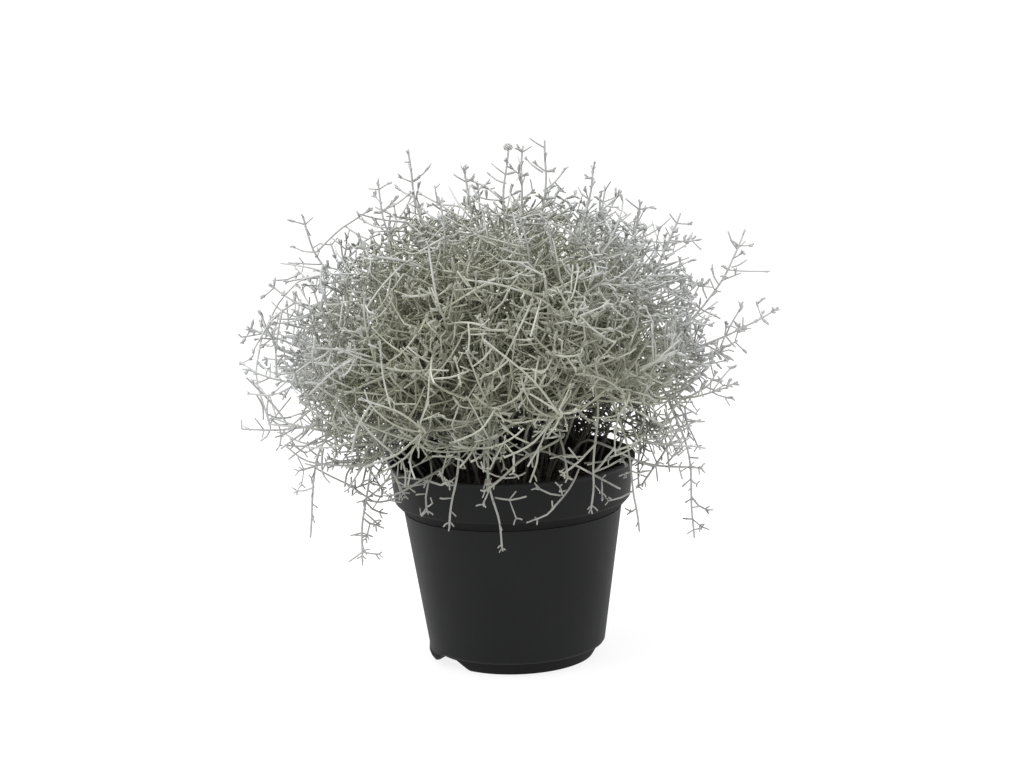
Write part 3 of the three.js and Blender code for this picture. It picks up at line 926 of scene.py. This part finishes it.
class Recipe:
    """The nodes of one finish."""

    def __init__(self, name):
        self.material = bpy.data.materials.new(name)
        self.material.use_nodes = True
        self.tree = self.material.node_tree
        self.tree.nodes.clear()
        self.place = self.node("ShaderNodeTexCoord").outputs["Object"]

    def node(self, kind, settings=None, inputs=None):
        made = self.tree.nodes.new(kind)
        for name, value in (settings or {}).items():
            setattr(made, name, value)
        for name, value in (inputs or {}).items():
            value = getattr(value, "socket", value)
            if isinstance(value, bpy.types.NodeSocket):
                self.tree.links.new(value, made.inputs[name])
            else:
                made.inputs[name].default_value = value
        return made

    def parts_of_place(self):
        split = self.node("ShaderNodeSeparateXYZ", {}, {0: self.place})
        return [Field(self, split.outputs[n]) for n in range(3)]

    def patches(self, scale, detail=2.0, roughness=0.5, stretch=(1, 1, 1)):
        """Soft random patches, about as many to a metre as the scale says."""
        place = self.node("ShaderNodeMapping", {}, {"Vector": self.place, "Scale": stretch})
        inputs = {"Vector": place.outputs[0], "Scale": scale, "Detail": detail, "Roughness": roughness}
        return Field(self, self.node("ShaderNodeTexNoise", {}, inputs).outputs["Fac"])

    def ramp(self, field, stops):
        made = self.node("ShaderNodeValToRGB", {}, {"Fac": field})
        elements = made.color_ramp.elements
        while len(elements) < len(stops):
            elements.new(1.0)
        for element, (position, colour) in zip(elements, stops):
            element.position = position
            element.color = (*colour, 1.0)
        return made.outputs["Color"]

    def mixed(self, share, first, second):
        settings = {"data_type": "RGBA", "clamp_result": True}
        made = self.node("ShaderNodeMix", settings, {0: share, 6: first, 7: second})
        return made.outputs[2]

    def relief(self, height, strength, distance):
        inputs = {"Height": height, "Strength": strength, "Distance": distance}
        return self.node("ShaderNodeBump", {}, inputs).outputs["Normal"]

    def shine(self, base, roughness, specular, normal=None, glow=0):
        inputs = {"Base Color": base, "Roughness": roughness, "Specular IOR Level": specular}
        if normal:
            inputs["Normal"] = normal
        if glow:
            inputs.update({"Emission Color": (1, 1, 1, 1), "Emission Strength": glow})
        return self.node("ShaderNodeBsdfPrincipled", {}, inputs).outputs[0]

    def with_painted_shade(self, shine, colour, share):
        """The shine with a flat paint over a share of it, used as painted shade."""
        paint = self.node("ShaderNodeBsdfDiffuse", {}, {"Color": colour, "Roughness": 1.0})
        return self.node("ShaderNodeMixShader", {}, {0: share, 1: shine, 2: paint.outputs[0]}).outputs[0]

    def finish(self, surface):
        self.node("ShaderNodeOutputMaterial", {}, {"Surface": surface})
        return self.material


def depth_field(recipe, dome):
    """0 in the middle of the bush and 1 at a dome: the place of its middle across, and its radii."""
    middle, *radii = dome
    x, y, z = recipe.parts_of_place()
    across = (x - middle) / radii[0]
    deep = y / radii[1]
    tall = (z - HEART) / radii[2]
    return (across * across + deep * deep + tall * tall).root()


def silvered(recipe, base, broad, narrow):
    """The base, paler and less green on the outer ends of the bush, and greyer on the low ones."""
    outer = depth_field(recipe, SILVER_DOME) + (broad - 0.5) * 0.25 + (narrow - 0.5) * 0.2
    low = 1 - recipe.parts_of_place()[2].climb(LOW_ENDS)
    greyed = recipe.mixed(low * 0.7, base, (0.3, 0.302, 0.302, 1))
    return recipe.mixed(outer.climb(OUTER_ENDS) * 0.85, greyed, (0.485, 0.493, 0.497, 1))


def silver_felt():
    recipe = Recipe("silver_felt")
    depth = depth_field(recipe, AGE_AND_SHADE_DOME)
    broad = recipe.patches(22, 2)
    narrow = recipe.patches(160, 3, 0.6)
    hairs = recipe.patches(1500, 2, 0.7)
    # Darker and more olive deeper in the bush: partly the older wood's own colour where its felt wears
    # off, and partly painted shade for the depth of the bush
    age_and_shade = (depth + (broad - 0.5) * 0.35 + (narrow - 0.5) * 0.3).kept()
    stops = [(0.0, (0.13, 0.131, 0.083)), (0.5, (0.215, 0.22, 0.15))]
    stops += [(0.78, (0.345, 0.352, 0.275)), (0.98, (0.405, 0.413, 0.338))]
    base = silvered(recipe, recipe.ramp(age_and_shade, stops), broad, narrow)
    x, y, z = recipe.parts_of_place()
    # Painted shade: low under the bush, over the pot's mouth and under its back half, the twigs are mixed
    # towards near black (0.042, 0.038, 0.03) where the bush's own shadow falls
    under = 1 - (z - 0.2 * x).climb(UNDER_BUSH)
    reach = (x * x + y * y).root()
    behind = y.climb(BACK_HALF) * (1 - reach.climb(BACK_EDGE))
    painted_shade_mask = under * (1 - reach.climb(MOUTH_EDGE)).most(behind)
    dusted = recipe.mixed(hairs.climb(HAIRS) * 0.8, base, (0.47, 0.477, 0.42, 1))
    painted_shade_colour = recipe.mixed(painted_shade_mask * 0.85, dusted, (0.042, 0.038, 0.03, 1))
    return recipe.finish(recipe.shine(painted_shade_colour, 0.75 + 0.2 * narrow, 0.2, recipe.relief(hairs, 0.5, 0.0003)))


def bud_felt():
    recipe = Recipe("bud_felt")
    narrow = recipe.patches(260, 3, 0.6)
    hairs = recipe.patches(1700, 2, 0.7)
    stops = [(0.3, (0.24, 0.245, 0.2)), (0.5, (0.32, 0.326, 0.272)), (0.7, (0.42, 0.427, 0.365))]
    base = silvered(recipe, recipe.ramp(narrow, stops), recipe.patches(22, 2), narrow - 0.3)
    return recipe.finish(recipe.shine(base, 0.8 + 0.15 * hairs, 0.2, recipe.relief(hairs, 0.6, 0.0003)))


def black_plastic():
    recipe = Recipe("black_plastic")
    x, y, z = recipe.parts_of_place()
    grain = recipe.patches(900, 3, 0.6)
    cloudy = recipe.patches(28, 4, 0.6)
    streaks = recipe.patches(60, 3, 0.6, (1, 1, 0.12))
    worn = recipe.patches(240, 4, 0.7)
    stops = [(0.3, (0.006, 0.0062, 0.0068)), (0.55, (0.008, 0.0083, 0.009))]
    stops += [(0.75, (0.0105, 0.0108, 0.0118))]
    base = recipe.ramp(cloudy * 0.6 + streaks * 0.4, stops)
    low = 1 - z.climb(FOOT_DUST)
    dust = worn.climb(DUST_FLECKS) * (low * 0.25 + z.climb(RIM_DUST) * 0.3 + 0.03)
    # The inside of the collar is painted paler with a soil colour: partly real soil marks, and partly
    # painted light that brightens the shaded inside of the pot
    reach = (x * x + y * y).root()
    inner_wall = INNER_WALL + (z - INNER_WALL_FOOT) * INNER_WALL_SLANT
    inside = (inner_wall - reach).climb(INNER_FACE) * z.climb(SOIL_AND_LIGHT_MARKS)
    dusty = recipe.mixed(dust, base, (0.045, 0.04, 0.035, 1))
    soil_and_painted_light = recipe.mixed(inside * (0.5 + 0.5 * worn), dusty, (0.055, 0.05, 0.043, 1))
    roughness = (0.42 + 0.16 * streaks + 0.1 * worn + dust * 0.3).kept()
    shine = recipe.shine(soil_and_painted_light, roughness, 0.16, recipe.relief(grain, 0.25, 0.0001))
    # Painted shade: the collar's underside slope and the foot's slope get a flat near-black paint over the
    # shine, which hides the light that they would catch from the floor
    collar_slope = z.climb(COLLAR_SLOPE) * (1 - z.climb(COLLAR_SLOPE_TOP))
    foot_slope = 1 - z.climb(FOOT_SLOPE_TOP)
    painted_shade_share = (collar_slope * 0.68 + foot_slope * 0.6).kept()
    return recipe.finish(recipe.with_painted_shade(shine, (0.012, 0.012, 0.0125, 1), painted_shade_share))


def potting_soil():
    recipe = Recipe("potting_soil")
    broad = recipe.patches(70, 3)
    crumbs = recipe.patches(600, 4, 0.7)
    stops = [(0.3, (0.014, 0.011, 0.008)), (0.5, (0.032, 0.024, 0.017))]
    stops += [(0.62, (0.055, 0.04, 0.028)), (0.75, (0.09, 0.066, 0.045))]
    base = recipe.ramp(broad * 0.4 + crumbs * 0.6, stops)
    return recipe.finish(recipe.shine(base, 0.85 + 0.15 * broad, 0.2, recipe.relief(crumbs, 0.9, 0.0008)))


def pale_florets():
    recipe = Recipe("pale_florets")
    spots = recipe.patches(900, 3, 0.6)
    stops = [(0.35, (0.4, 0.4, 0.396)), (0.5, (0.6, 0.6, 0.595)), (0.65, (0.72, 0.72, 0.715))]
    base = recipe.ramp(spots, stops)
    return recipe.finish(recipe.shine(base, 0.85 + 0.1 * spots, 0.2, recipe.relief(spots, 0.6, 0.0003)))


def studio_paper():
    recipe = Recipe("studio_paper")
    clouds = recipe.patches(3, 2)
    base = recipe.ramp(clouds, [(0.3, (0.24, 0.24, 0.24)), (0.7, (0.25, 0.25, 0.25))])
    return recipe.finish(recipe.shine(base, 0.9, 0.1, glow=PAPER_GLOW))


# Bench tools


def clear_bench():
    bpy.ops.object.select_all(action="DESELECT")


def pick(*pieces):
    clear_bench()
    for piece in pieces:
        piece.select_set(True)
    bpy.context.view_layer.objects.active = pieces[0]


def settle(*pieces):
    """Puts each piece's place into its mesh."""
    pick(*pieces)
    bpy.ops.object.transform_apply(location=True, rotation=True, scale=True)


def join(pieces):
    """Makes the pieces one, under the first one's name."""
    settle(*pieces)
    bpy.ops.object.join()
    return pieces[0]


def edit(piece):
    pick(piece)
    bpy.ops.object.mode_set(mode="EDIT")
    bpy.ops.mesh.select_all(action="SELECT")


def close_edit():
    """Ends the edit of a mesh, with all its faces looking out."""
    bpy.ops.mesh.select_all(action="SELECT")
    bpy.ops.mesh.normals_make_consistent(inside=False)
    bpy.ops.object.mode_set(mode="OBJECT")


def smooth_under(piece, degrees):
    """Smooth shading, with a sharp edge wherever the faces turn by more than the degrees."""
    pick(piece)
    bpy.ops.object.shade_smooth_by_angle(angle=math.radians(degrees))


def placed(name, data):
    """A new object in the scene, made of this data."""
    made = bpy.data.objects.new(name, data)
    bpy.context.scene.collection.objects.link(made)
    return made


def coat(piece, material):
    piece.data.materials.clear()
    piece.data.materials.append(material)


def stand_for(piece, node):
    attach(piece, "root")
    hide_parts(node)


def turned(name, profile, sides=128):
    """A closed shell turned round the pot's axis: its rings are drawn out one after another."""
    clear_bench()
    radius, height = profile[0]
    bpy.ops.mesh.primitive_circle_add(
        vertices=sides, radius=radius * MM, fill_type="NGON", location=(0, 0, height * MM)
    )
    piece = bpy.context.object
    piece.name = piece.data.name = name
    edit(piece)
    for (was_radius, was_height), (radius, height) in zip(profile, profile[1:]):
        rise = (0, 0, (height - was_height) * MM)
        bpy.ops.mesh.extrude_region_move(TRANSFORM_OT_translate={"value": rise})
        share = radius / was_radius
        bpy.ops.transform.resize(value=(share, share, 1), center_override=(0, 0, height * MM))
    close_edit()
    settle(piece)
    return piece


def ring_band(name, profile, sides=128):
    """A closed ring: its outline is drawn as a profile and spun round the pot's axis."""
    mesh = bpy.data.meshes.new(name)
    count = len(profile)
    edges = [(n, (n + 1) % count) for n in range(count)]
    mesh.from_pydata([(radius * MM, 0, height * MM) for radius, height in profile], edges, [])
    band = placed(name, mesh)
    edit(band)
    bpy.ops.mesh.spin(steps=sides, angle=2 * math.pi, center=(0, 0, 0), axis=(0, 0, 1))
    bpy.ops.mesh.select_all(action="SELECT")
    bpy.ops.mesh.remove_doubles(threshold=1e-6)
    close_edit()
    return band


# Stems


def bent_wires(name, strands, roundness, finishes):
    """Strands drawn as curves with a round section, made into closed tubes."""
    curve = bpy.data.curves.new(name, "CURVE")
    curve.dimensions = "3D"
    curve.bevel_depth = MM
    curve.bevel_resolution = roundness
    for material in finishes.values():
        curve.materials.append(material)
    order = list(finishes)
    for strand in strands:
        spline = curve.splines.new("POLY")
        spline.points.add(len(strand.line) - 1)
        spline.material_index = order.index(strand.finish)
        places = [c for x, y, z in strand.line for c in (x * MM, y * MM, z * MM, 1)]
        spline.points.foreach_set("co", places)
        spline.points.foreach_set("radius", strand.radii)
    wires = placed(name, curve)
    pick(wires)
    bpy.ops.object.convert(target="MESH")
    edit(wires)
    bpy.ops.mesh.fill_holes(sides=12)
    close_edit()
    return wires


def leafy_stems(finishes):
    for node, strands in leafy_strands().items():
        round_ones = [strand for strand in strands if strand.sides == 6]
        plain_ones = [strand for strand in strands if strand.sides == 4]
        parts = [bent_wires(f"leafy_{node}", round_ones, 1, finishes)]
        if plain_ones:
            parts.append(bent_wires(f"leafy_{node}_tips", plain_ones, 0, finishes))
        piece = join(parts)
        piece.data.name = piece.name
        stand_for(piece, node)


# Flower heads
HEAD_SIZE = 1.04
HEAD_FLATNESS = 0.84
GOLDEN_TURN = 2.39996


def blunt_bud(place, out, size, stretch, rounds=1):
    """One floret or bud: a small ball, longer the way it looks."""
    bpy.ops.mesh.primitive_ico_sphere_add(subdivisions=rounds, radius=size, location=place)
    bud = bpy.context.object
    bud.rotation_euler = out.to_track_quat("Z", "Y").to_euler()
    bud.scale = (1, 1, stretch)
    return bud


def flower_head(node, material, florets, spread, stretch):
    """A small head on its stalk: a cup with florets packed on it, from its top down by the spread."""
    low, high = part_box(node)
    half_width = (high.x - low.x) / 2 * HEAD_SIZE
    half_height = half_width * HEAD_FLATNESS
    middle = Vector(((low.x + high.x) / 2, (low.y + high.y) / 2, low.z + half_height * 1.1))
    up = Vector(UP)
    clear_bench()
    parts = [
        blunt_bud(Vector((middle.x, middle.y, low.z + half_height * 0.1)), up, half_width * 0.3, 1.6),
        blunt_bud(middle, up, half_width * 0.7, 0.8, 2),
    ]
    for n in range(florets):
        height = 1 - spread * (n + 0.5) / florets
        turn = n * GOLDEN_TURN
        level = math.sqrt(1 - height * height)
        out = Vector((*on_circle(level, turn), height))
        size = half_width * (0.8 + 0.15 * row.draw()) * math.sqrt(spread / florets)
        reach = 1 - size * stretch / half_width
        place = Vector((out.x * half_width, out.y * half_width, out.z * half_height)) * reach
        parts.append(blunt_bud(middle + place, out, size, stretch))
    piece = join(parts)
    piece.name = piece.data.name = f"{node}_florets"
    bpy.ops.object.shade_smooth()
    coat(piece, material)
    stand_for(piece, node)


# Soil
COLLAR_RADIUS = 62.6
SOIL_RADIUS = COLLAR_RADIUS - WALL + 0.1
SOIL_SIDE = ((43.1, 7.7), (45.3, 10.8), (56.1, 82.5), (60.8, 87.5), (SOIL_RADIUS, 91.5))
SOIL_SINK = 0.6
SOIL_RINGS = 24
CRUMBS = 260
CRUMBS_REACH = 58


def lumps_at(x, y):
    return 0.9 * math.sin(0.31 * x + 1.3) * math.cos(0.27 * y) + 0.7 * math.sin(0.17 * x - 0.41 * y)


def soil_height(share):
    """The height of the smooth soil at this share of its radius."""
    return SOIL_TOP + SOIL_DOME * (1 - share * share) - SOIL_SINK


def crumbly_soil(material):
    shares = [1 - 0.04 * n for n in range(1, SOIL_RINGS + 1)]
    profile = [*SOIL_SIDE, *((SOIL_RADIUS * share, soil_height(share)) for share in shares)]
    soil = turned("soil_crumbs", profile, 120)
    for vertex in soil.data.vertices:
        x, y, z = (c / MM for c in vertex.co)
        if z > SOIL_TOP - 3:
            rough = noise.fractal(Vector((x, y, 0)) * 0.35, 1.0, 2.0, 4)
            vertex.co.z += (lumps_at(x, y) + 1.1 * rough) * MM
    parts = [soil]
    for _ in range(CRUMBS):
        reach = CRUMBS_REACH * math.sqrt(row.draw())
        turn = row.between(0, 2 * math.pi)
        x, y = on_circle(reach, turn)
        z = soil_height(reach / SOIL_RADIUS) + lumps_at(x, y)
        size = row.between(0.7, 2.2)
        clear_bench()
        bpy.ops.mesh.primitive_ico_sphere_add(
            subdivisions=1,
            radius=size * MM,
            location=(x * MM, y * MM, (z + size * 0.3) * MM),
            rotation=[row.between(0, 3) for _ in range(3)],
        )
        crumb = bpy.context.object
        crumb.scale = (1, row.between(0.5, 1), row.between(0.35, 0.8))
        for vertex in crumb.data.vertices:
            vertex.co *= row.between(0.75, 1.25)
        parts.append(crumb)
    join(parts)
    smooth_under(soil, 50)
    coat(soil, material)
    stand_for(soil, "soil")


# Pot
FOOT = BODY_FOOT_RADIUS
BASE_RADIUS = 30
BASE_UNDERSIDE = 6.2
BASE_TOP = 7.4
FOOT_RING = ((35.8, BASE_UNDERSIDE), (36.4, 0.3), (36.8, 0), (39.6, 0), (40.2, 0.3), (40.7, 1))
FOOT_CORNER = (
    (43.6, 5.9), (44.3, 6.9), (FOOT - 1.7, 7.1),
    (FOOT - 0.8, 7.5), (FOOT - 0.2, 8.4), (FOOT, 9.6),
)
GROOVE = (
    (BODY_TOP_RADIUS - 0.1, CHAMFER_BOTTOM - 0.7), (BODY_TOP_RADIUS - 0.6, CHAMFER_BOTTOM - 0.4),
    (BODY_TOP_RADIUS - 0.6, CHAMFER_BOTTOM - 0.1), (BODY_TOP_RADIUS + 0.35, CHAMFER_BOTTOM + 0.45),
)
COLLAR = ((COLLAR_RADIUS - 0.35, 86.6), (COLLAR_RADIUS, 87.2), (64.3, 105.3), (64.6, 105.7))
RIM = (
    (65.3, POT_HEIGHT - 1.9), (RIM_RADIUS, 106.6), (RIM_RADIUS, 107.6),
    (65.2, POT_HEIGHT), (63.7, POT_HEIGHT), (63.25, 107.6),
)
INSIDE = (
    (COLLAR_RADIUS - WALL, 87.5), (BODY_TOP_RADIUS - WALL, CHAMFER_BOTTOM + 0.5),
    (FOOT - WALL, 10.4), (FOOT - 3.2, BASE_TOP),
)
SKIRT = (
    (FOOT - 1.7, 2.4), (FOOT - 0.9, 2.5), (FOOT - 0.4, 3.2), (FOOT + 0.2, 5),
    (FOOT - 0.1, 10.2), (FOOT - 1.1, 9.9), (FOOT - 2.8, 7.8), (FOOT - 2.7, 3),
)
NOTCH_TURNS = (185, 65)
NOTCH_START = 20.2
NOTCH_LENGTH = 40.4
DRAIN_HOLES = 6
DRAIN_RADIUS = 3.5
DRAIN_CIRCLE = 27


def notch_block(name, degrees, floor_width, top_width, floor, top):
    """A block across the foot, wider at its floor or its top as the widths say."""
    clear_bench()
    bpy.ops.mesh.primitive_cube_add(size=1, location=(0, 0, 0))
    block = bpy.context.object
    block.name = name
    for vertex in block.data.vertices:
        width, height = (top_width, top) if vertex.co.z > 0 else (floor_width, floor)
        along = NOTCH_START + NOTCH_LENGTH * (vertex.co.x + 0.5)
        vertex.co = Vector((along * MM, width * vertex.co.y * MM, height * MM))
    block.rotation_euler = (0, 0, math.radians(degrees))
    settle(block)
    return block


def carve(piece, tool, operation):
    pick(piece)
    modifier = piece.modifiers.new(operation.lower(), "BOOLEAN")
    modifier.operation = operation
    modifier.object = tool
    modifier.solver = "EXACT"
    bpy.ops.object.modifier_apply(modifier=modifier.name)
    bpy.data.objects.remove(tool)


def nursery_pot(material):
    base = ((BASE_RADIUS, BASE_UNDERSIDE), (BASE_RADIUS, BASE_TOP))
    outline = (base[0], *FOOT_RING, *FOOT_CORNER, *GROOVE, *COLLAR, *RIM, *INSIDE, base[1])
    shell = turned("nursery_pot", outline)
    for degrees in NOTCH_TURNS:
        carve(shell, notch_block("notch", degrees, 58, 52, -0.5, 5.6), "DIFFERENCE")
        skirt = ring_band("skirt", SKIRT)
        carve(skirt, notch_block("skirt_block", degrees, 22, 56, 1.9, 11), "INTERSECT")
        carve(shell, skirt, "UNION")
    for n in range(DRAIN_HOLES):
        turn = n * 2 * math.pi / DRAIN_HOLES
        place = (*on_circle(DRAIN_CIRCLE * MM, turn), BASE_UNDERSIDE * MM)
        clear_bench()
        bpy.ops.mesh.primitive_cylinder_add(radius=DRAIN_RADIUS * MM, depth=6 * MM, location=place)
        carve(shell, bpy.context.object, "DIFFERENCE")
    smooth_under(shell, 24)
    coat(shell, material)
    stand_for(shell, "pot")


# Studio, in metres and degrees: each lamp has a place, a width and a power
LAMPS = {
    "key_light": ((-1.2, -0.8, 1.5), 0.9, 9),
    "fill_light": ((1.3, -1.1, 0.9), 1.4, 1),
    "top_light": ((-0.3, 0.1, 1.9), 1.3, 29),
}
SKY_STRENGTH = 0.9
PAPER_GLOW = 0.84
LENS = 96.8
CAMERA_AIM = (0.0018, 0, 0.147)
CAMERA_DISTANCE = 1.45
CAMERA_RISE = 10.9
CAMERA_ROLL = -2


def studio():
    clear_bench()
    bpy.ops.mesh.primitive_plane_add(size=60, location=(0, 0, -0.0002))
    floor = bpy.context.object
    floor.name = "studio_floor"
    coat(floor, studio_paper())
    world = bpy.data.worlds.new("studio")
    bpy.context.scene.world = world
    world.use_nodes = True
    backdrop = world.node_tree.nodes["Background"]
    backdrop.inputs["Color"].default_value = (1, 1, 1, 1)
    backdrop.inputs["Strength"].default_value = SKY_STRENGTH
    for name, (place, size, power) in LAMPS.items():
        light = bpy.data.lights.new(name, "AREA")
        light.shape = "DISK"
        light.size = size
        light.energy = power
        lamp = placed(name, light)
        lamp.location = place
        aim = Vector((0, 0, HEART)) - Vector(place)
        lamp.rotation_euler = aim.to_track_quat("-Z", "Y").to_euler()
    view = bpy.context.scene.view_settings
    view.view_transform = "Standard"
    view.look = "None"


def camera():
    """The photograph's viewing place: a little above the bush, and tilted slightly."""
    lens = bpy.data.cameras.new("camera")
    lens.lens = LENS
    lens.sensor_width = 36
    lens.clip_start = 0.05
    lens.clip_end = 100
    holder = placed("camera", lens)
    pitch = Matrix.Rotation(math.radians(90 - CAMERA_RISE), 3, "X")
    turn = pitch @ Matrix.Rotation(math.radians(CAMERA_ROLL), 3, "Z")
    holder.location = Vector(CAMERA_AIM) + turn.col[2] * CAMERA_DISTANCE
    holder.rotation_euler = turn.to_euler()
    bpy.context.scene.camera = holder


camera()
leafy_stems({"felt": silver_felt(), "bud": bud_felt()})
florets = pale_florets()
flower_head("flower_head_1", florets, 9, 1.1, 1.7)
flower_head("flower_head_2", florets, 60, 1.8, 1.3)
crumbly_soil(potting_soil())
nursery_pot(black_plastic())
studio()
clear_bench()
